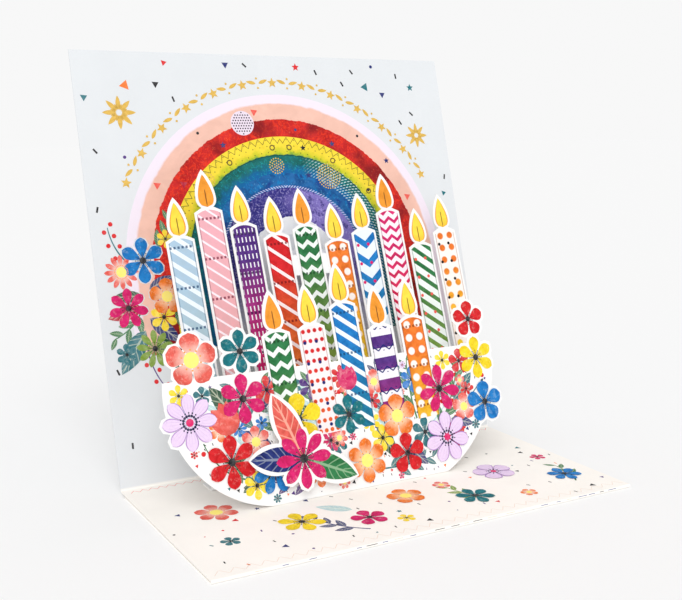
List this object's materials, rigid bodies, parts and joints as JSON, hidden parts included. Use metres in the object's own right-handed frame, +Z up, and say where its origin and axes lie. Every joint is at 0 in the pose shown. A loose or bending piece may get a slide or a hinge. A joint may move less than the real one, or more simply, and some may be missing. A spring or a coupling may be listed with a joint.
{
  "type": "pop-up greeting card",
  "caption": "Pop-up greeting card standing open, with a printed rainbow on its leaning back panel, die-cut rows of candles and a flower bank on folded struts",
  "frame": {"origin": "middle of the base, on the face that the card rests on", "axes": "+X to the right along the hinge fold, -Y towards the viewer, +Z up"},
  "size_m": [0.15, 0.119, 0.1455],
  "materials": {
    "cover_card": "matte",
    "layer_card": "matte",
    "strut_card": "matte",
    "foam": "matte",
    "ink_arch_violet": "matte",
    "ink_arch_blue": "matte",
    "ink_arch_green": "matte",
    "ink_arch_yellow": "matte",
    "ink_arch_red": "matte",
    "ink_arch_peach": "matte",
    "ink_gold": "matte",
    "ink_candle_blue": "matte",
    "ink_candle_pink": "matte",
    "ink_candle_violet": "matte",
    "ink_candle_red": "matte",
    "ink_candle_green": "matte",
    "ink_candle_orange": "matte",
    "ink_flame": "matte",
    "ink_coral": "matte",
    "ink_teal": "matte",
    "ink_red": "matte",
    "ink_yellow": "matte",
    "ink_lilac": "matte",
    "ink_pink": "matte",
    "ink_orange": "matte",
    "ink_blue": "matte",
    "ink_centre": "matte",
    "ink_navy": "matte",
    "ink_leaf": "matte",
    "ink_bud": "matte"
  },
  "bodies": {
    "root": {"card_cover": "cover_card", "candle_row": "layer_card", "flower_bank": "layer_card", "bouquet": "layer_card", "bouquet_pads": "foam", "upper_strut": "strut_card", "left_strut": "strut_card", "right_strut": "strut_card", "arch_violet": "ink_arch_violet", "arch_blue": "ink_arch_blue", "arch_green": "ink_arch_green", "arch_yellow": "ink_arch_yellow", "arch_red": "ink_arch_red", "arch_peach": "ink_arch_peach", "gold_stars": "ink_gold", "candles_blue": "ink_candle_blue", "candles_pink": "ink_candle_pink", "candles_violet": "ink_candle_violet", "candles_red": "ink_candle_red", "candles_green": "ink_candle_green", "candles_orange": "ink_candle_orange", "flames": "ink_flame", "blossoms_coral": "ink_coral", "blossoms_teal": "ink_teal", "blossoms_red": "ink_red", "blossoms_yellow": "ink_yellow", "blossoms_lilac": "ink_lilac", "blossoms_pink": "ink_pink", "blossoms_orange": "ink_orange", "blossoms_blue": "ink_blue", "blossom_centres": "ink_centre", "leaf_navy": "ink_navy", "leaf_green": "ink_leaf", "bud_coral": "ink_bud"}
  },
  "joints": []
}
